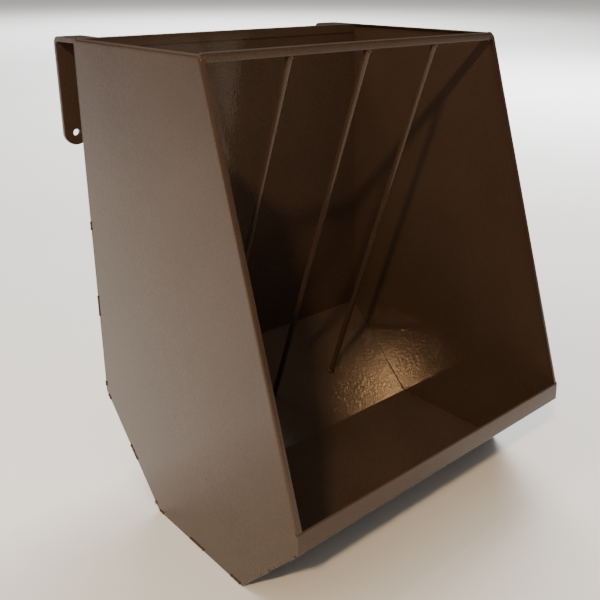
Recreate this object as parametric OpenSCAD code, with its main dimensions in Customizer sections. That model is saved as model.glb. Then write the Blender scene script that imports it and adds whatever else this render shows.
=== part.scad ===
// Hook-over hay and feed hopper: a welded sheet-steel hopper with a trough, three hay bars and
// two strap hooks. X runs across the width, -Y is the open front, +Z is up.
// The origin is on the ground plane under the middle of the whole object, hooks included.

/* [Body] */
// Width across the outsides of the side panels
width = 457; // [300:1:700]
// Height from the underside of the floor to the top edge
height = 592; // [450:1:800]
// Depth of the top opening, from the back face to the front of the rail
top_depth = 275; // [180:1:330]
// Depth from the back face to the front of the lip
full_depth = 410; // [340:1:520]
// Sheet thickness of the panels and the folded sheet
sheet = 1.5; // [1:0.1:2.5]
// Outside radius of the folds
fold_r = 3; // [2.6:0.1:5]

/* [Trough] */
// Rise and run of the 45 degree rear slope
rear_slope = 124; // [80:1:140]
// Rise and run of the 45 degree front slope
front_slope = 104; // [80:1:120]
// Height of the upright lip
lip_h = 24; // [16:1:40]
// Length of the lip's folded-over inner layer
lip_hem = 12; // [8:1:14]

/* [Edges] */
// Width of the inward flange on the side panels' top and front edges
flange_w = 7; // [6:0.5:9]
// Length of the folded-over inner layer along the back's top edge
back_hem = 13; // [10:1:20]
// Gap left open at the rear top corners and above the lip
corner_relief = 3; // [2:0.5:5]

/* [Rail and bars] */
// Outside size of the square front rail
rail = 10; // [8:0.5:13]
// Wall of the rail tube
rail_wall = 1.2; // [0.8:0.1:1.6]
// Diameter of the hay bars
bar_d = 7.94; // [6:0.01:9.5]
// Number of hay bars, evenly spaced
bar_count = 3; // [3:1:3]
// Height of the bar feet above the floor's underside
bar_foot_z = 57; // [40:1:65]

/* [Hooks] */
// Width of the hook straps
strap_w = 32; // [25:1:40]
// Thickness of the hook straps
strap_t = 6; // [4:0.5:7]
// Clear gap between the back and the hook's hanging leg
hook_gap = 51; // [38:1:70]
// Length of the hanging leg, from the top edge down to its round end
hook_drop = 139; // [100:1:160]
// Outside radius of the hook's bend
hook_r = 10; // [8:1:14]
// Diameter of the hole in the hook
hook_hole = 9; // [6:0.5:12]

/* [Welds] */
// Radius of the stitch welds along the seams
seam_r = 2; // [1.5:0.25:4]
// Radius of the blobs at the bar and rail ends
blob_r = 6; // [5:0.25:7]

/* [Hidden] */

coat = "#4f3d2e";
weld_coat = "#3d3026";
$fn = 48;
eps = 0.01;         // overlap of solids that are joined, and of cutters past a face
far = 2000;         // size of the cutters that take a half-space away

hook_reach = hook_gap + strap_t;
back_y = (full_depth - hook_reach) / 2;      // rear face of the back
front_y = back_y - full_depth;               // front face of the lip
rail_y = back_y - top_depth;                 // front face of the rail
lip_z = front_slope;                         // bottom of the lip
lip_top = front_slope + lip_h;
floor_rear_y = back_y - rear_slope;          // fold between the rear slope and the floor
floor_front_y = front_y + front_slope;       // fold between the floor and the front slope
half_w = width / 2;
side_x = half_w - sheet;                     // inner face of a side panel

// The outside of the hopper seen from its left, as [y, z] points, counterclockwise:
// front edge, lip, front slope, floor, rear slope, back and top
profile = [
    [rail_y, height], [front_y, lip_top], [front_y, lip_z], [floor_front_y, 0],
    [floor_rear_y, 0], [back_y, rear_slope], [back_y, height]
];
FRONT_SLOPE = 2;
FLOOR = 3;
REAR_SLOPE = 4;
BACK = 5;
web_inset = 2 * fold_r;     // from a folded edge to where the panel is drawn as plain flat sheet

bar_head = [rail_y + rail / 2, height - rail];
bar_foot = [floor_rear_y + bar_foot_z - sheet * sqrt(2), bar_foot_z];

// Stitch welds along the seams: side of the profile, start and end as parts of its length
stitches = [
    [BACK, 0.487, 0.513], [BACK, 0.233, 0.295], [BACK, 0.014, 0.03],
    [REAR_SLOPE, 0.92, 0.97], [REAR_SLOPE, 0.41, 0.54], [REAR_SLOPE, 0.05, 0.08],
    [FLOOR, 0.945, 1], [FLOOR, 0.43, 0.6], [FLOOR, 0.015, 0.125],
    [FRONT_SLOPE, 0.47, 0.63], [FRONT_SLOPE, 0.04, 0.1]
];

function unit(v) = v / norm(v);
function left_of(v) = [-v.y, v.x];

// Point where the line a1-a2 crosses the line b1-b2
function crossing(a1, a2, b1, b2) =
    let (u = a2 - a1, v = b2 - b1, w = b1 - a1)
    a1 + u * ((w.x * v.y - w.y * v.x) / (u.x * v.y - u.y * v.x));

// A counterclockwise outline with each side moved inwards by its own distance
function inset(points, by) = [
    for (i = [0 : len(points) - 1])
        let (
            before = (i + len(points) - 1) % len(points),
            after = (i + 1) % len(points),
            d1 = left_of(unit(points[i] - points[before])) * by[before],
            d2 = left_of(unit(points[after] - points[i])) * by[i]
        )
        crossing(points[before] + d1, points[i] + d1, points[i] + d2, points[after] + d2)
];

function along(side, part) =
    profile[side] + (profile[side + 1] - profile[side]) * part;

panel_outline = inset(profile, [0, sheet, sheet, sheet, sheet, sheet, 0]);
web_outline = inset(panel_outline, [web_inset, 0, 0, 0, 0, 0, web_inset]);
flange_end_y = back_y - 2 * sheet - corner_relief;
flange_end_z = panel_outline[1].y + corner_relief;

// Turns a [y, z] outline into a solid from x0 to x1
module spread(x0, x1) {
    translate([x0, 0, 0])
        rotate([90, 0, 90])
            linear_extrude(x1 - x0)
                children();
}

// Outline of a sheet that lies on the left of a path of straight runs, with round folds
module sheet_outline(path, thickness, radius) {
    last = len(path) - 1;
    dirs = [for (i = [0 : last - 1]) unit(path[i + 1] - path[i])];
    setback = [
        for (i = [0 : last])
            i == 0 || i == last ? 0 : radius * tan(acos(dirs[i - 1] * dirs[i]) / 2)
    ];
    for (i = [0 : last - 1]) {
        start = path[i] + dirs[i] * setback[i];
        end = path[i + 1] - dirs[i] * setback[i + 1];
        across = left_of(dirs[i]) * thickness;
        polygon([start, end, end + across, start + across]);
    }
    for (i = [1 : last - 1]) {
        start = path[i] - dirs[i - 1] * setback[i];
        end = path[i] + dirs[i] * setback[i];
        centre = start + left_of(dirs[i - 1]) * radius;
        intersection() {
            polygon([centre, start, path[i], end]);
            translate(centre)
                difference() {
                    circle(radius);
                    circle(radius - thickness);
                }
        }
    }
}

// A panel's edge from a to b, folded inwards: only the part that lies in the strip is kept
module folded_edge(a, b, strip) {
    run = b - a;
    spare = 2 * web_inset;
    intersection() {
        spread(-half_w - 1, -half_w + flange_w + 1)
            polygon(strip);
        translate([-half_w, a.x, a.y])
            rotate([atan2(-run.x, run.y), 0, 0])
                translate([0, 0, -spare])
                    linear_extrude(norm(run) + 2 * spare)
                        sheet_outline([[flange_w, 0], [0, 0], [0, -spare]], sheet, fold_r);
    }
}

// Flat sheet of a panel, which reaches its edges only past the ends of the flanges
module panel_web() {
    spread(-half_w, -side_x) {
        polygon(web_outline);
        intersection() {
            polygon(panel_outline);
            union() {
                translate([flange_end_y, 0])
                    square([full_depth, height]);
                translate([front_y, 0])
                    square([full_depth, flange_end_z]);
            }
        }
    }
}

// The top flange runs to the front corner, and the front flange starts just below it
module side_panel() {
    corner = panel_outline[0];
    inner_corner = web_outline[0];
    rear_end = [flange_end_y, height];
    top_level = [inner_corner, inner_corner + [1, 0]];
    foot_level = [[0, flange_end_z], [1, flange_end_z]];
    head = crossing(corner, panel_outline[1], top_level[0], top_level[1]);
    foot = crossing(corner, panel_outline[1], foot_level[0], foot_level[1]);
    inner_foot = crossing(inner_corner, web_outline[1], foot_level[0], foot_level[1]);
    panel_web();
    folded_edge(rear_end, corner, [
        2 * corner - head, head, rear_end - [0, web_inset], rear_end + [0, web_inset]
    ]);
    folded_edge(head, foot, [
        2 * head - inner_corner, 2 * foot - inner_foot, inner_foot, inner_corner
    ]);
}

// The space that a panel with its flanges takes up, as one block
module panel_block() {
    spread(-half_w, -half_w + flange_w)
        polygon(panel_outline);
}

module left_side_panel() {
    color(coat)
        side_panel();
}

module right_side_panel() {
    color(coat)
        mirror([1, 0, 0])
            side_panel();
}

// Half of a folded-over edge, from its round top down: side is -1 for -y and 1 for +y
module hem_half(y, top, side, length) {
    intersection() {
        union() {
            translate([y, top - sheet])
                circle(sheet);
            translate([y + min(side, 0) * sheet, top - length])
                square([sheet, length - sheet]);
        }
        translate([y + min(side, 0) * far, 0])
            square(far);
    }
}

module folded_sheet() {
    color(coat) {
        spread(-half_w, half_w) {
            sheet_outline([
                [front_y, lip_top - sheet], profile[2], profile[3], profile[4], profile[5],
                [back_y, height - sheet]
            ], sheet, fold_r);
            hem_half(front_y + sheet, lip_top, -1, lip_hem);
            hem_half(back_y - sheet, height, 1, back_hem);
        }
        spread(-side_x, side_x) {
            hem_half(front_y + sheet, lip_top, 1, lip_hem);
            hem_half(back_y - sheet, height, -1, back_hem);
        }
    }
}

module rounded_square(size, radius) {
    translate([radius, 0])
        square([size - 2 * radius, size]);
    translate([0, radius])
        square([size, size - 2 * radius]);
    for (x = [radius, size - radius], y = [radius, size - radius])
        translate([x, y])
            circle(radius);
}

module rail_at() {
    spread(-half_w + flange_w, half_w - flange_w)
        translate([rail_y, height - rail])
            children();
}

module front_rail() {
    rail_r = 2;
    color(coat)
        rail_at()
            difference() {
                rounded_square(rail, rail_r);
                translate([rail_wall, rail_wall])
                    rounded_square(rail - 2 * rail_wall, rail_r - rail_wall);
            }
}

module below_slope(x) {
    translate([x, bar_foot.x, bar_foot.y])
        rotate([45, 0, 0])
            translate([-far / 2, -far / 2, -far])
                cube(far);
}

// Centre line of hay bar i, as a cylinder that runs past both ends
module bar_rod(i) {
    run = bar_head - bar_foot;
    spare = 3 * bar_d;
    translate([bar_x(i), bar_foot.x, bar_foot.y])
        rotate([atan2(-run.x, run.y), 0, 0])
            translate([0, 0, -spare])
                cylinder(h = norm(run) + 2 * spare, d = bar_d);
}

function bar_x(i) = width * ((i + 1) / (bar_count + 1) - 0.5);

module bar(i) {
    color(coat)
        difference() {
            bar_rod(i);
            translate([-far / 2, -far / 2, bar_head.y])
                cube(far);
            below_slope(bar_x(i));
        }
}

module left_bar() {
    bar(0);
}

module middle_bar() {
    bar(1);
}

module right_bar() {
    bar(2);
}

module hook() {
    leg_y = back_y + hook_reach;
    end_r = strap_w / 2;
    end_z = height - hook_drop + end_r;
    mid_x = -half_w + end_r;
    difference() {
        union() {
            spread(-half_w, -half_w + strap_w)
                sheet_outline([[leg_y, end_z], [leg_y, height], [back_y, height]], strap_t, hook_r);
            translate([mid_x, leg_y, end_z])
                rotate([90, 0, 0])
                    cylinder(h = strap_t, r = end_r);
        }
        translate([mid_x, leg_y + eps, end_z])
            rotate([90, 0, 0])
                cylinder(h = strap_t + 2 * eps, d = hook_hole);
    }
}

module left_hook() {
    color(coat)
        hook();
}

module right_hook() {
    color(coat)
        mirror([1, 0, 0])
            hook();
}

// A straight bead with round ends, along +Z from the origin
module bead(length, radius) {
    cylinder(h = length, r = radius);
    sphere(radius);
    translate([0, 0, length])
        sphere(radius);
}

module hopper_envelope() {
    spread(-half_w, half_w)
        polygon(profile);
}

// A stitch weld sits round the seam's outer corner, or only beside it where the floor rests on the ground
module stitch(side, from, to) {
    start = along(side, from);
    run = along(side, to) - start;
    translate([-half_w, start.x, start.y])
        rotate([atan2(-run.x, run.y), 0, 0])
            difference() {
                bead(norm(run), seam_r);
                translate([0, -far, -far])
                    cube([far, far, 2 * far]);
                if (side == FLOOR)
                    translate([-far, 0, -far])
                        cube(2 * far);
            }
}

module seam_welds(count) {
    for (i = [0 : count - 1])
        stitch(stitches[i][0], stitches[i][1], stitches[i][2]);
}

module left_seam_welds() {
    color(weld_coat)
        seam_welds(len(stitches));
}

// The right seam has no stitch at the lip
module right_seam_welds() {
    color(weld_coat)
        mirror([1, 0, 0])
            seam_welds(len(stitches) - 1);
}

module rail_welds() {
    sunk = blob_r * 0.6;     // depth of the blob's centre below the rail's top and front
    color(weld_coat)
        for (side = [0, 1])
            mirror([side, 0, 0])
                difference() {
                    translate([-half_w + flange_w, rail_y + sunk, height - sunk])
                        sphere(blob_r);
                    panel_block();
                    rail_at()
                        square(rail);
                }
}

module bar_head_welds() {
    color(weld_coat)
        for (i = [0 : bar_count - 1])
            difference() {
                translate([bar_x(i), bar_head.x, bar_head.y])
                    sphere(blob_r);
                bar_rod(i);
                translate([-far / 2, -far / 2, bar_head.y])
                    cube(far);
            }
}

module bar_foot_welds() {
    color(weld_coat)
        for (i = [0 : bar_count - 1])
            difference() {
                translate([bar_x(i), bar_foot.x, bar_foot.y])
                    sphere(blob_r);
                bar_rod(i);
                below_slope(bar_x(i));
            }
}

module hook_welds() {
    under_z = height - strap_t;
    inset_x = 4;    // from the strap's edges to the ends of the bead under it
    color(weld_coat)
        for (side = [0, 1])
            mirror([side, 0, 0])
                difference() {
                    translate([-half_w + inset_x, back_y, under_z])
                        rotate([0, 90, 0])
                            bead(strap_w - 2 * inset_x, seam_r);
                    hopper_envelope();
                    hook();
                }
}

module lip_welds() {
    lip_blob_r = blob_r * 0.6;
    color(weld_coat)
        for (side = [0, 1])
            mirror([side, 0, 0])
                difference() {
                    translate([-half_w + sheet, front_y + lip_blob_r, lip_top + sheet])
                        sphere(lip_blob_r);
                    panel_block();
                    translate([-half_w, front_y, 0])
                        cube([width, full_depth, lip_top]);
                }
}

folded_sheet();
left_side_panel();
right_side_panel();
front_rail();
left_bar();
middle_bar();
right_bar();
left_hook();
right_hook();
left_seam_welds();
right_seam_welds();
rail_welds();
bar_head_welds();
bar_foot_welds();
hook_welds();
lip_welds();
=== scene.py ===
import math
import random
import bmesh
import bpy
from mathutils import Matrix, Vector, noise


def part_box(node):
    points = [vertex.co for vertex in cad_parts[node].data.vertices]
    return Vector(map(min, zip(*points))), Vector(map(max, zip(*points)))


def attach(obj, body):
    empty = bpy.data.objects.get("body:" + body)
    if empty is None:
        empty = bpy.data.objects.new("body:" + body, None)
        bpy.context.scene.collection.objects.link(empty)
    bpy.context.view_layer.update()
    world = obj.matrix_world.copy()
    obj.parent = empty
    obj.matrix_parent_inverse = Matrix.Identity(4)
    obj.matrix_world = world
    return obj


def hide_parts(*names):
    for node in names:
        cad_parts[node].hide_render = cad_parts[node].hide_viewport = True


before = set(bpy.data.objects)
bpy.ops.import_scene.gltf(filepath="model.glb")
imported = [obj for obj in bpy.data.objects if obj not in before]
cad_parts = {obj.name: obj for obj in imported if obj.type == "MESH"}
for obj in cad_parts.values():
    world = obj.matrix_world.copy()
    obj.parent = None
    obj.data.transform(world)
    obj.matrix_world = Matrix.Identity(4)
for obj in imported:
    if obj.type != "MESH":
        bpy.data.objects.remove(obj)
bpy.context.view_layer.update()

MM = 0.001

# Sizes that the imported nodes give
sheet_lo, sheet_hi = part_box("folded_sheet")
rail_lo, rail_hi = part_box("front_rail")
HALF_W = sheet_hi.x
BACK = sheet_hi.y
FRONT = sheet_lo.y
TOP = sheet_hi.z
RAIL = rail_hi.z - rail_lo.z
RAIL_Y = rail_lo.y

# Sizes that part.scad has too
T = 1.5 * MM
FOLD = 3 * MM
REAR_SLOPE = 124 * MM
FRONT_SLOPE = 104 * MM
LIP_H = 24 * MM
LIP_HEM = 12 * MM
BACK_HEM = 13 * MM
RELIEF = 3 * MM
WEB_INSET = 6 * MM
ROD_R = 3.97 * MM
FOOT_Z = 57 * MM
STRAP_W = 32 * MM
STRAP_T = 6 * MM
HOOK_REACH = 57 * MM
HOOK_DROP = 139 * MM
HOOK_R = 10 * MM
HOLE_R = 4.5 * MM
LIP_TOP = FRONT_SLOPE + LIP_H
BARS = 3

# Sizes that only the visual model has, or that differ from part.scad
FLANGE = 6 * MM           # 7 mm in part.scad
CORNER_R = 9 * MM         # the corner is sharp in part.scad
RAIL_LIFT = 1.2 * MM      # how far the rail's left end is raised; it is level in part.scad
ROD_SUNK = 1.5 * MM       # how far a bar's top runs up into the rail
SEAM_GAP = 0.8 * MM       # groove along the inner seams
HEM_GAP = 0.3 * MM        # between the two leaves of a hem
HEM_SIDE_GAP = 0.25 * MM  # from a hem's end to the side panel
PANEL_INSET = 0.1 * MM    # a side panel's outer face, inside the sheet's end
STITCH_R = 1.35 * MM
STITCH_LIFT = 1.1 * MM    # keeps the beads on the flat floor above z = 0
DROPLETS = 9              # at each end of the rail
BEVEL = 0.3 * MM

PROFILE = [
    (RAIL_Y, TOP),
    (FRONT, LIP_TOP),
    (FRONT, FRONT_SLOPE),
    (FRONT + FRONT_SLOPE, 0.0),
    (BACK - REAR_SLOPE, 0.0),
    (BACK, REAR_SLOPE),
    (BACK, TOP),
]


# ---------------------------------------------------------------- plane geometry
def vec(p):
    return Vector((p[0], p[1]))


def left_of(v):
    return Vector((-v.y, v.x))


def crossing(a1, a2, b1, b2):
    u, v, w = a2 - a1, b2 - b1, b1 - a1
    return a1 + u * ((w.x * v.y - w.y * v.x) / (u.x * v.y - u.y * v.x))


def inset(points, by):
    out = []
    for i, p in enumerate(points):
        a, b = points[i - 1], points[(i + 1) % len(points)]
        d1 = left_of((p - a).normalized()) * by[i - 1]
        d2 = left_of((b - p).normalized()) * by[i]
        out.append(crossing(a + d1, p + d1, p + d2, b + d2))
    return out


def rounded_path(points, radii, steps=8):
    """A path of straight runs, with an arc of the given radius at each inner point."""
    out = [points[0]]
    for i in range(1, len(points) - 1):
        p, r = points[i], radii[i]
        u = (p - points[i - 1]).normalized()
        v = (points[i + 1] - p).normalized()
        turn = math.acos(max(-1.0, min(1.0, u.dot(v))))
        back = r * math.tan(turn / 2)
        start = p - u * back
        side = left_of(u) if left_of(u).dot(v) > 0 else -left_of(u)
        centre = start + side * r
        for k in range(steps + 1):
            a = turn * k / steps
            out.append(centre - side * r * math.cos(a) + u * r * math.sin(a))
    out.append(points[-1])
    return out


def path_normals(path):
    out = []
    for i in range(len(path)):
        a = path[max(i - 1, 0)]
        b = path[min(i + 1, len(path) - 1)]
        out.append(left_of((b - a).normalized()))
    return out


outline = [vec(p) for p in PROFILE]


# ---------------------------------------------------------------- materials
def ramp(nodes, stops):
    r = nodes.new("ShaderNodeValToRGB")
    while len(r.color_ramp.elements) < len(stops):
        r.color_ramp.elements.new(0.5)
    for e, (at, c) in zip(r.color_ramp.elements, stops):
        e.position = at
        e.color = (*c, 1)
    return r


def coat_material(name, dark, light, rough=(0.06, 0.1), peel=0.7, grain=0.12):
    """Glossy powder coat: mottled colour, fine grain, orange peel and uneven gloss."""
    m = bpy.data.materials.new(name)
    m.use_nodes = True
    nt = m.node_tree
    n, link = nt.nodes, nt.links.new
    bsdf = n["Principled BSDF"]
    tc = n.new("ShaderNodeTexCoord")

    def noise_at(scale, detail=2.0, roughness=0.5):
        t = n.new("ShaderNodeTexNoise")
        t.inputs["Scale"].default_value = scale
        t.inputs["Detail"].default_value = detail
        t.inputs["Roughness"].default_value = roughness
        link(tc.outputs["Object"], t.inputs["Vector"])
        return t

    cloud = noise_at(7, 3, 0.55)
    speck = noise_at(900, 2, 0.6)
    mix = n.new("ShaderNodeMath")
    mix.operation = "MULTIPLY_ADD"
    link(speck.outputs["Fac"], mix.inputs[0])
    mix.inputs[1].default_value = 0.75
    scaled = n.new("ShaderNodeMath")
    scaled.operation = "MULTIPLY"
    link(cloud.outputs["Fac"], scaled.inputs[0])
    scaled.inputs[1].default_value = 0.25
    link(scaled.outputs[0], mix.inputs[2])
    col = ramp(n, [(0.36, dark), (0.64, light)])
    link(mix.outputs[0], col.inputs["Fac"])
    link(col.outputs["Color"], bsdf.inputs["Base Color"])

    gloss = noise_at(38, 4, 0.6)
    gr = n.new("ShaderNodeMapRange")
    gr.inputs["From Min"].default_value = 0.3
    gr.inputs["From Max"].default_value = 0.7
    gr.inputs["To Min"].default_value = rough[0]
    gr.inputs["To Max"].default_value = rough[1]
    link(gloss.outputs["Fac"], gr.inputs["Value"])
    link(gr.outputs["Result"], bsdf.inputs["Roughness"])

    wave = noise_at(11, 1)
    orange = noise_at(230, 2)
    fine = noise_at(620, 2)
    previous = None
    bumps = ((wave, 0.25, 0.0005), (orange, peel, 0.0002), (fine, grain, 0.0001))
    for tex, strength, distance in bumps:
        b = n.new("ShaderNodeBump")
        b.inputs["Strength"].default_value = strength
        b.inputs["Distance"].default_value = distance
        link(tex.outputs["Fac"], b.inputs["Height"])
        if previous:
            link(previous.outputs["Normal"], b.inputs["Normal"])
        previous = b
    link(previous.outputs["Normal"], bsdf.inputs["Normal"])
    bsdf.inputs["Metallic"].default_value = 0.0
    bsdf.inputs["IOR"].default_value = 1.4
    bsdf.inputs["Specular Tint"].default_value = (1.0, 0.86, 0.72, 1)
    return m


COAT = coat_material("powder_coat", (0.037, 0.0225, 0.0155), (0.063, 0.041, 0.0295))
WELD = coat_material(
    "coated_weld", (0.034, 0.019, 0.012), (0.075, 0.044, 0.029),
    rough=(0.08, 0.16), peel=1.0, grain=0.6,
)


def floor_material():
    m = bpy.data.materials.new("studio_floor")
    m.use_nodes = True
    n, link = m.node_tree.nodes, m.node_tree.links.new
    bsdf = n["Principled BSDF"]
    tc = n.new("ShaderNodeTexCoord")
    t = n.new("ShaderNodeTexNoise")
    t.inputs["Scale"].default_value = 1.5
    link(tc.outputs["Object"], t.inputs["Vector"])
    c = ramp(n, [(0.3, (0.86, 0.86, 0.86)), (0.7, (0.9, 0.9, 0.9))])
    link(t.outputs["Fac"], c.inputs["Fac"])
    link(c.outputs["Color"], bsdf.inputs["Base Color"])
    bsdf.inputs["Roughness"].default_value = 0.8
    return m


# ---------------------------------------------------------------- mesh helpers
def make(name, verts, faces, material=COAT, bevel=None, angle=35, nodes=()):
    mesh = bpy.data.meshes.new(name)
    mesh.from_pydata([tuple(v) for v in verts], [], faces)
    bm = bmesh.new()
    bm.from_mesh(mesh)
    bmesh.ops.remove_doubles(bm, verts=bm.verts, dist=1e-6)
    bmesh.ops.recalc_face_normals(bm, faces=bm.faces)
    bm.to_mesh(mesh)
    bm.free()
    obj = bpy.data.objects.new(name, mesh)
    bpy.context.scene.collection.objects.link(obj)
    mesh.materials.append(material)
    mesh.polygons.foreach_set("use_smooth", [True] * len(mesh.polygons))
    if bevel:
        b = obj.modifiers.new("bevel", "BEVEL")
        b.width = bevel
        b.segments = 2
        b.limit_method = "ANGLE"
        b.angle_limit = math.radians(angle)
        b.harden_normals = True
    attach(obj, "root")
    if nodes:
        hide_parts(*nodes)
    return obj


def at(x, p):
    return Vector((x, p.x, p.y))


# ---------------------------------------------------------------- folded sheet
def folded_sheet():
    c = T / 2
    leaf = T + HEM_GAP
    mid = inset(outline, [c] * len(outline))
    points = [
        Vector((FRONT + c + leaf, LIP_TOP - LIP_HEM)),
        Vector((FRONT + c + leaf, LIP_TOP - c)),
        Vector((FRONT + c, LIP_TOP - c)),
        mid[2], mid[3], mid[4], mid[5],
        Vector((BACK - c, TOP - c)),
        Vector((BACK - c - leaf, TOP - c)),
        Vector((BACK - c - leaf, TOP - BACK_HEM)),
    ]
    hem_r = leaf / 2 - 1e-6
    radii = [0, hem_r, hem_r, FOLD - c, FOLD - c, FOLD - c, FOLD - c, hem_r, hem_r, 0]
    path = rounded_path(points, radii, 10)
    normals = path_normals(path)
    inside_lip = FRONT + c + leaf / 2
    inside_back = BACK - c - leaf / 2
    rows = [-1.0, -0.5, 0.0, 0.5, 1.0]
    verts, faces = [], []
    n = len(path)
    for row in rows:
        for p, d in zip(path, normals):
            at_lip = LIP_TOP - LIP_HEM - MM < p.y < LIP_TOP
            in_lip_hem = at_lip and inside_lip < p.x < FRONT + 6 * MM
            in_back_hem = p.y > TOP - BACK_HEM - MM and p.x < inside_back
            half = HALF_W - (T + HEM_SIDE_GAP if in_lip_hem or in_back_hem else 0)
            verts.append(at(half * row, p - d * c))
            verts.append(at(half * row, p + d * c))
    for r in range(len(rows) - 1):
        for i in range(n - 1):
            a, b = (r * n + i) * 2, ((r + 1) * n + i) * 2
            faces.append((a, a + 2, b + 2, b))
            faces.append((a + 1, b + 1, b + 3, a + 3))
        for i in (0, n - 1):
            a, b = (r * n + i) * 2, ((r + 1) * n + i) * 2
            faces.append((a, b, b + 1, a + 1))
    for r in (0, len(rows) - 1):
        for i in range(n - 1):
            a = (r * n + i) * 2
            faces.append((a, a + 1, a + 3, a + 2))
    return make("sheet_body", verts, faces, bevel=BEVEL, angle=60, nodes=["folded_sheet"])


# ---------------------------------------------------------------- side panels
def fold_section():
    """The folded edge's section as (across, inwards) pairs: outer surface, then inner."""
    outer = [(FLANGE, 0.0)]
    inner = [(FLANGE, T)]
    steps = 8
    for k in range(steps + 1):
        a = math.radians(90 * k / steps)
        outer.append((FOLD - FOLD * math.sin(a), FOLD - FOLD * math.cos(a)))
        r = FOLD - T
        inner.append((FOLD - r * math.sin(a), FOLD - r * math.cos(a)))
    outer.append((0.0, WEB_INSET))
    inner.append((T, WEB_INSET))
    return outer, inner


def side_panel(sign, name, node):
    """A flat web with one folded edge along the top, round the corner and down the front."""
    web = inset(outline, [0] + [0.8 * T] * 5 + [0])
    groove = inset(outline, [0, T] + [T + SEAM_GAP] * 3 + [T, 0])
    centre = inset(web, [CORNER_R, 0, 0, 0, 0, 0, CORNER_R])[0]
    down = (web[1] - web[0]).normalized()
    front_out = -left_of(down)
    foot_z = LIP_TOP + 0.9 * MM
    foot = crossing(web[0], web[1], Vector((0, foot_z)), Vector((1, foot_z)))
    foot_base = foot - front_out * WEB_INSET
    lip_meet = crossing(foot_base, foot, web[1], web[2])
    rear_y = BACK - 2 * T - RELIEF
    rear_base = Vector((rear_y, TOP - WEB_INSET))
    sections = [(rear_base, Vector((0.0, 1.0)))]
    steps = 10
    turn = math.atan2(-front_out.x, front_out.y)
    for k in range(steps + 1):
        a = turn * k / steps
        out = Vector((-math.sin(a), math.cos(a)))
        sections.append((centre + out * (CORNER_R - WEB_INSET), out))
    sections.append((foot_base, front_out))
    outer_pts, inner_pts = fold_section()
    loop = outer_pts + inner_pts[::-1]
    verts, faces = [], []

    def put(across, p):
        verts.append(at(sign * (-HALF_W + PANEL_INSET + across), p))
        return len(verts) - 1

    rings = []
    for base, out in sections:
        rings.append([put(x, base + out * (WEB_INSET - d)) for x, d in loop])
    m = len(loop)
    join = len(outer_pts) - 1
    for a, b in zip(rings, rings[1:]):
        for j in range(m):
            if j == join:
                continue
            k = (j + 1) % m
            faces.append((a[j], a[k], b[k], b[j]))
    for ring in (rings[0], rings[-1]):
        faces.append(tuple(ring))
    start, finish = [foot_base, lip_meet], [Vector((rear_y, TOP)), rear_base]
    arc = [base for base, _ in sections[1:-1]]
    shown = [put(0.0, p) for p in start + web[2:] + finish + arc]
    hidden = [put(T, p) for p in start + groove[2:] + finish + arc]
    faces.append(tuple(shown))
    faces.append(tuple(hidden))
    for i in range(len(shown) - len(arc) - 1):
        faces.append((shown[i], shown[i + 1], hidden[i + 1], hidden[i]))
    return make(name, verts, faces, bevel=BEVEL, angle=50, nodes=[node])


# ---------------------------------------------------------------- rail and bars
def front_rail():
    r = 1.1 * MM
    section = []
    corners = ((RAIL - r, RAIL - r, 0), (r, RAIL - r, 90), (r, r, 180), (RAIL - r, r, 270))
    for cx, cz, start in corners:
        for k in range(6):
            a = math.radians(start + 90 * k / 5)
            section.append((cx + r * math.cos(a), cz + r * math.sin(a)))
    half = HALF_W - FLANGE
    rows = 9
    verts, faces = [], []
    for i in range(rows):
        along = i / (rows - 1)
        x = half * (2 * along - 1)
        lift = RAIL_LIFT * (1 - along ** 3)
        for y, z in section:
            verts.append((x, RAIL_Y + y, TOP - RAIL + z + lift))
    m = len(section)
    for i in range(rows - 1):
        for j in range(m):
            k = (j + 1) % m
            faces.append((i * m + j, i * m + k, (i + 1) * m + k, (i + 1) * m + j))
    faces.append(tuple(range(m)))
    faces.append(tuple(range((rows - 1) * m, rows * m)))
    return make("rail_tube", verts, faces, bevel=0.2 * MM, angle=60, nodes=["front_rail"])


HEAD = Vector((0.0, RAIL_Y + RAIL / 2, TOP - RAIL))
FOOT = Vector((0.0, BACK - REAR_SLOPE + FOOT_Z - T * math.sqrt(2), FOOT_Z))
AXIS = (HEAD - FOOT).normalized()
SLOPE_N = Vector((0.0, -1.0, 1.0)).normalized()
SIDE = Vector((1.0, 0.0, 0.0))
ROD_UP = SIDE.cross(AXIS).normalized()


def on_plane(p, direction, origin, normal):
    return p + direction * ((origin - p).dot(normal) / direction.dot(normal))


def bar_x(i):
    return 2 * HALF_W * ((i + 1) / (BARS + 1) - 0.5)


def bar(i, name, node):
    shift = Vector((bar_x(i), 0, 0))
    verts, faces = [], []
    m, rows = 40, 12
    for k in range(rows + 1):
        for j in range(m):
            a = 2 * math.pi * j / m
            p = FOOT + shift + (SIDE * math.cos(a) + ROD_UP * math.sin(a)) * ROD_R
            low = on_plane(p, AXIS, FOOT, SLOPE_N)
            high = on_plane(p, AXIS, HEAD + Vector((0, 0, ROD_SUNK)), Vector((0, 0, 1)))
            verts.append(low + (high - low) * (k / rows))
    for k in range(rows):
        for j in range(m):
            q = (j + 1) % m
            faces.append((k * m + j, k * m + q, (k + 1) * m + q, (k + 1) * m + j))
    faces.append(tuple(range(m)))
    faces.append(tuple(range(rows * m, (rows + 1) * m)))
    return make(name, verts, faces, bevel=0.2 * MM, angle=40, nodes=[node])


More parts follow.
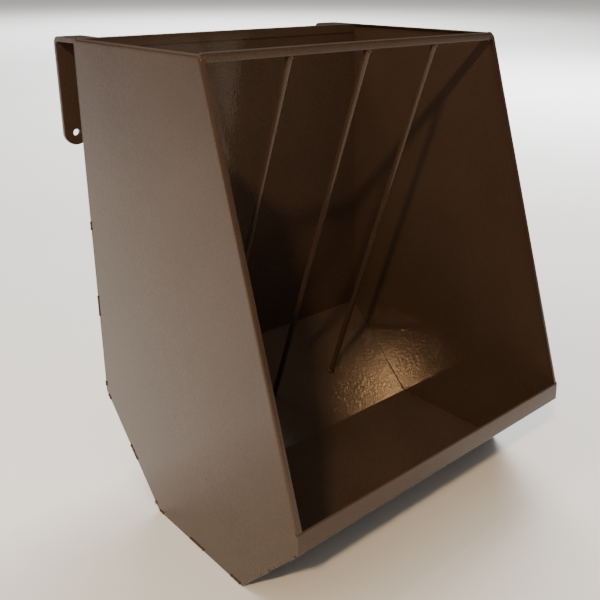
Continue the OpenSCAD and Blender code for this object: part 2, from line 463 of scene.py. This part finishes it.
# ---------------------------------------------------------------- strap hooks
def hook(sign, name, node):
    """A bent strap whose lower end is round, with a hole through it."""
    c = STRAP_T / 2
    half = STRAP_W / 2
    leg_y = BACK + HOOK_REACH
    hole_z = TOP - HOOK_DROP + half
    path = rounded_path(
        [Vector((BACK, TOP - c)), Vector((leg_y - c, TOP - c)), Vector((leg_y - c, hole_z + half))],
        [0, HOOK_R - c, 0], 12,
    )
    normals = path_normals(path)
    mid_x = -HALF_W + half
    ring_n, first, last = 48, 6, 18
    angles = [2 * math.pi * k / ring_n for k in range(ring_n)]
    us = [half / math.tan(a) for a in angles[first:last + 1]]
    verts, faces = [], []

    def put(u, p, d, offset):
        verts.append(at(sign * (mid_x + u), p - d * offset))
        return len(verts) - 1

    def rim(a):
        """A point on the strap's edge: square above the hole's centre, round below it."""
        u, v = math.cos(a), math.sin(a)
        reach = half / max(abs(u), abs(v)) if v > 0 else half
        return u * reach, v * reach

    rows = [[[put(u, p, d, s * c) for u in us] for s in (-1, 1)] for p, d in zip(path, normals)]
    cols = len(us) - 1
    for a, b in zip(rows, rows[1:]):
        for s in (0, 1):
            for k in range(cols):
                faces.append((a[s][k], a[s][k + 1], b[s][k + 1], b[s][k]))
        for k in (0, cols):
            faces.append((a[0][k], a[1][k], b[1][k], b[0][k]))
    for k in range(cols):
        faces.append((rows[0][0][k], rows[0][0][k + 1], rows[0][1][k + 1], rows[0][1][k]))
    d = normals[-1]
    centre = Vector((leg_y - c, hole_z))
    rings = []
    hole = [(HOLE_R * math.cos(a), HOLE_R * math.sin(a)) for a in angles]
    for points in (hole, [rim(a) for a in angles]):
        for s in (-1, 1):
            rings.append([put(u, centre + Vector((0, v)), d, s * c) for u, v in points])
    hole_a, hole_b, rim_a, rim_b = rings
    for k in range(ring_n):
        q = (k + 1) % ring_n
        faces.append((hole_a[k], hole_a[q], rim_a[q], rim_a[k]))
        faces.append((hole_b[k], hole_b[q], rim_b[q], rim_b[k]))
        faces.append((hole_a[k], hole_a[q], hole_b[q], hole_b[k]))
        if not first <= k < last:
            faces.append((rim_a[k], rim_a[q], rim_b[q], rim_b[k]))
    return make(name, verts, faces, bevel=0.5 * MM, angle=50, nodes=[node])


# ---------------------------------------------------------------- welds
def bead_parts(p0, p1, radius, seed, verts, faces, pitch, swell=0.0):
    """A rippled weld bead, a closed tube with tapered ends that may swell into lumps."""
    run = p1 - p0
    length = run.length
    t = run.normalized()
    a = t.cross(Vector((0.3, 0.5, 0.81))).normalized()
    b = t.cross(a)
    m = 20
    rows = max(12, int(length / (0.35 * MM)))
    base = len(verts)
    phase = (seed * 0.37) % 1.0
    for i in range(rows + 1):
        s = length * i / rows
        for j in range(m):
            ang = 2 * math.pi * j / m
            away = a * math.cos(ang) + b * math.sin(ang)
            end = min(s, length - s)
            taper = math.sqrt(max(0.0, 1 - (1 - min(1.0, end / radius)) ** 2))
            lean = 0.35 * pitch * math.cos(2 * ang)
            w = ((s + lean) / pitch + phase) % 1.0
            ripple = 0.82 + 0.18 * math.sqrt(1 - (2 * w - 1) ** 2)
            spot = Vector((s * 260 + seed * 9.1, math.cos(ang) * 0.9, math.sin(ang) * 0.9))
            n = noise.noise(spot)
            lump = 1 + swell * math.exp(-(((end - 1.3 * radius) / (0.9 * radius)) ** 2))
            r = radius * taper * lump * (ripple + 0.10 * n)
            verts.append(p0 + t * s + away * r)
    for i in range(rows):
        for j in range(m):
            q = (j + 1) % m
            a0, b0 = base + i * m, base + (i + 1) * m
            faces.append((a0 + j, a0 + q, b0 + q, b0 + j))


def collar_parts(centre, normal, radius, height, axis, seed, verts, faces, clip_y=None):
    """A weld fillet round a rod that meets a flat face."""
    m, rows = 48, 8
    base = len(verts)
    v = normal.cross(SIDE).normalized()
    for j in range(m):
        a = 2 * math.pi * j / m
        wob = noise.noise(Vector((math.cos(a) * 1.7, math.sin(a) * 1.7, seed * 3.3)))
        rip = math.sin(a * 9 + seed)
        out = (SIDE * math.cos(a) + v * math.sin(a)) * radius * (1 + 0.14 * wob + 0.04 * rip)
        low = centre + out
        if clip_y:
            low.y = max(centre.y - clip_y, min(centre.y + clip_y, low.y))
        rod = (SIDE * math.cos(a) + v * math.sin(a)) * (ROD_R * 0.97)
        p = centre + rod - axis * rod.dot(axis)
        top = on_plane(p, axis, centre + normal * height * (1 + 0.2 * wob + 0.06 * rip), normal)
        for k in range(rows + 1):
            w = k / rows
            bulge = math.sin(math.pi * w) * 0.24 * radius
            n2 = 1 + 0.18 * noise.noise(Vector((a * 3, w * 3, seed)))
            verts.append(low.lerp(top, w) + (out.normalized() * 0.7 + normal * 0.5) * bulge * n2)
    for j in range(m):
        q = (j + 1) % m
        for k in range(rows):
            i0, i1 = base + j * (rows + 1) + k, base + q * (rows + 1) + k
            faces.append((i0, i1, i1 + 1, i0 + 1))


def blob_parts(centre, radius, stretch, seed, verts, faces):
    """An irregular lump of weld metal."""
    bm = bmesh.new()
    bmesh.ops.create_icosphere(bm, subdivisions=3, radius=1.0)
    base = len(verts)
    for v in bm.verts:
        n = noise.noise(v.co * 1.3 + Vector((seed, seed * 2, 0)))
        n2 = noise.noise(v.co * 3.7 + Vector((0, seed, seed)))
        k = radius * (1 + 0.22 * n + 0.10 * n2)
        stretched = Vector((v.co.x * stretch[0], v.co.y * stretch[1], v.co.z * stretch[2]))
        verts.append(centre + stretched * k)
    for f in bm.faces:
        faces.append(tuple(base + v.index for v in f.verts))
    bm.free()


def spatter_parts(centre, spread, count, seed, verts, faces):
    """Small droplets of weld metal scattered round a joint, not seated on its surface."""
    rng = random.Random(seed)
    for k in range(count):
        offset = Vector([rng.uniform(-s, s) for s in spread])
        radius = rng.uniform(0.5, 0.9) * MM
        blob_parts(centre + offset, radius, (1.0, 1.0, 1.0), seed + k, verts, faces)


def weld_object(name, verts, faces, node):
    return make(name, verts, faces, material=WELD, nodes=[node])


STITCHES = [
    (5, 0.487, 0.513), (5, 0.233, 0.295), (5, 0.014, 0.03),
    (4, 0.92, 0.97), (4, 0.41, 0.54), (4, 0.05, 0.08),
    (3, 0.945, 1.0), (3, 0.43, 0.6), (3, 0.015, 0.125),
    (2, 0.47, 0.63), (2, 0.04, 0.1),
]


def seam_welds(sign, name, node, count):
    """Short thin stitches on the sheet's cut edge, each with a small lump at both ends."""
    edge = inset(outline, [T * 0.55] * len(outline))
    verts, faces = [], []
    for i, (side, a, b) in enumerate(STITCHES[:count]):
        p, q = edge[side], edge[side + 1]
        start, end = p + (q - p) * a, p + (q - p) * b
        if side == 3:
            start, end = start + Vector((0, STITCH_LIFT)), end + Vector((0, STITCH_LIFT))
        x = sign * -(HALF_W - 0.2 * MM)
        bead_parts(
            at(x, start), at(x, end), STITCH_R, i + sign * 3, verts, faces,
            pitch=1.9 * MM, swell=0.3,
        )
    return weld_object(name, verts, faces, node)


def bar_head_welds():
    verts, faces = [], []
    for i in range(BARS):
        collar_parts(
            HEAD + Vector((bar_x(i), 0, 0.1 * MM)), Vector((0, 0, -1)), 4.8 * MM, 3.2 * MM,
            AXIS, i + 1.0, verts, faces, clip_y=RAIL / 2 - 0.4 * MM,
        )
    return weld_object("bar_head_beads", verts, faces, "bar_head_welds")


def bar_foot_welds():
    verts, faces = [], []
    for i in range(BARS):
        collar_parts(
            FOOT + Vector((bar_x(i), 0, 0)) - SLOPE_N * 0.1 * MM, SLOPE_N, 5.4 * MM, 3.2 * MM,
            AXIS, i + 7.0, verts, faces,
        )
    return weld_object("bar_foot_beads", verts, faces, "bar_foot_welds")


def rail_welds():
    verts, faces = [], []
    for sign in (-1, 1):
        x = sign * (HALF_W - FLANGE)
        bead_parts(
            Vector((x, RAIL_Y + 0.4 * MM, TOP - RAIL + 0.5 * MM)),
            Vector((x, RAIL_Y + 0.4 * MM, TOP - 1.5 * MM)),
            1.7 * MM, 5 + sign, verts, faces, pitch=1.8 * MM,
        )
        blob_parts(
            Vector((x - sign * 1.5 * MM, RAIL_Y + 4.5 * MM, TOP - RAIL - 0.3 * MM)),
            2.6 * MM, (1.2, 1.4, 0.9), 2.0 + sign, verts, faces,
        )
        blob_parts(
            Vector((x, RAIL_Y + 4.5 * MM, TOP - 0.6 * MM)),
            1.9 * MM, (1.3, 2.0, 0.8), 4.0 + sign, verts, faces,
        )
        spatter_parts(
            Vector((x, RAIL_Y + 0.3 * MM, TOP - 5 * MM)), (5.5 * MM, 0.3 * MM, 4.5 * MM),
            DROPLETS, 20 + sign, verts, faces,
        )
    return weld_object("rail_end_beads", verts, faces, "rail_welds")


def hook_welds():
    verts, faces = [], []
    for sign in (-1, 1):
        x0, x1 = sign * (HALF_W - 3 * MM), sign * (HALF_W - STRAP_W + 3 * MM)
        z = TOP - STRAP_T
        bead_parts(
            Vector((x0, BACK + 0.2 * MM, z)), Vector((x1, BACK + 0.2 * MM, z)),
            2.7 * MM, 11 + sign, verts, faces, pitch=2.4 * MM,
        )
    return weld_object("hook_beads", verts, faces, "hook_welds")


def lip_welds():
    verts, faces = [], []
    for sign in (-1, 1):
        blob_parts(
            Vector((sign * (HALF_W - 1.2 * MM), FRONT + 3 * MM, LIP_TOP - 0.4 * MM)),
            2.7 * MM, (1.0, 1.0, 1.1), 8.0 + sign, verts, faces,
        )
    return weld_object("lip_end_beads", verts, faces, "lip_welds")


# ---------------------------------------------------------------- camera, floor and light
FRAME_PX = 600       # the frame's width
FOCAL_PX = 800.56    # focal length, in the same units
SENSOR_MM = 36
FLOOR_HALF = 60      # half the floor's side, in metres


def make_camera():
    az, el, roll = math.radians(-43.232), math.radians(16.258), math.radians(0.064)
    back = Vector((math.sin(az) * math.cos(el), -math.cos(az) * math.cos(el), math.sin(el)))
    right = (-back).cross(Vector((0, 0, 1))).normalized()
    up = right.cross(-back)
    right, up = (
        right * math.cos(roll) + up * math.sin(roll),
        up * math.cos(roll) - right * math.sin(roll),
    )
    data = bpy.data.cameras.new("camera")
    data.sensor_width = SENSOR_MM
    data.lens = FOCAL_PX * SENSOR_MM / FRAME_PX
    data.shift_x = -0.0972
    data.shift_y = -0.1538
    data.clip_start, data.clip_end = 0.05, 60
    cam = bpy.data.objects.new("camera", data)
    turn = Matrix((right, up, back)).transposed().to_4x4()
    cam.matrix_world = Matrix.Translation((-0.6468, -0.76588, 0.66584)) @ turn
    bpy.context.scene.collection.objects.link(cam)
    bpy.context.scene.camera = cam


def area(name, location, target, size, power, colour=(1, 1, 1), glossy=False):
    data = bpy.data.lights.new(name, "AREA")
    data.shape = "RECTANGLE"
    data.size, data.size_y = size
    data.energy = power
    data.color = colour
    obj = bpy.data.objects.new(name, data)
    obj.location = location
    obj.rotation_mode = "QUATERNION"
    obj.rotation_quaternion = (Vector(target) - Vector(location)).to_track_quat("-Z", "Y")
    obj.visible_camera = False
    obj.visible_glossy = glossy
    bpy.context.scene.collection.objects.link(obj)


def make_studio():
    mesh = bpy.data.meshes.new("floor")
    s = FLOOR_HALF
    mesh.from_pydata([(-s, -s, 0), (s, -s, 0), (s, s, 0), (-s, s, 0)], [], [(0, 1, 2, 3)])
    floor = bpy.data.objects.new("floor", mesh)
    mesh.materials.append(floor_material())
    bpy.context.scene.collection.objects.link(floor)
    world = bpy.data.worlds.new("studio")
    world.use_nodes = True
    n, link = world.node_tree.nodes, world.node_tree.links.new
    bg = n["Background"]
    tc = n.new("ShaderNodeTexCoord")
    xyz = n.new("ShaderNodeSeparateXYZ")
    link(tc.outputs["Generated"], xyz.inputs[0])
    levels = ((0.0, 0.1), (0.3, 0.16), (0.65, 0.85), (1.0, 1.15))
    sky = ramp(n, [(z, (v, 0.965 * v, 0.91 * v)) for z, v in levels])
    link(xyz.outputs["Z"], sky.inputs["Fac"])
    link(sky.outputs["Color"], bg.inputs["Color"])
    bg.inputs["Strength"].default_value = 0.64
    bpy.context.scene.world = world
    area(
        "glow", (-2.02, -1.64, 2.27), (0.22, 0.05, 0.06), (0.22, 0.11), 72, (1.0, 0.70, 0.40),
        glossy=True,
    )
    area("left", (-2.4, 1.2, 0.5), (-0.2, 0.0, 0.2), (0.9, 0.9), 16, (1.0, 0.76, 0.42))
    area("back_floor", (-0.52, 0.28, 1.5), (-0.52, 0.28, 0), (0.6, 0.6), 7.5, (1.0, 0.9, 0.76))
    area("overhead", (3.6, 1.8, 2.6), (3.2, 1.8, 0), (2.4, 2.4), 360)
    area("far_floor", (5.0, 8.0, 5.0), (4.6, 7.5, 0), (5.0, 5.0), 1000)


make_camera()
make_studio()
folded_sheet()
side_panel(1, "panel_left", "left_side_panel")
side_panel(-1, "panel_right", "right_side_panel")
front_rail()
bar(0, "rod_left", "left_bar")
bar(1, "rod_middle", "middle_bar")
bar(2, "rod_right", "right_bar")
hook(1, "strap_left", "left_hook")
hook(-1, "strap_right", "right_hook")
seam_welds(1, "seam_beads_left", "left_seam_welds", len(STITCHES))
seam_welds(-1, "seam_beads_right", "right_seam_welds", len(STITCHES) - 1)
rail_welds()
bar_head_welds()
bar_foot_welds()
hook_welds()
lip_welds()
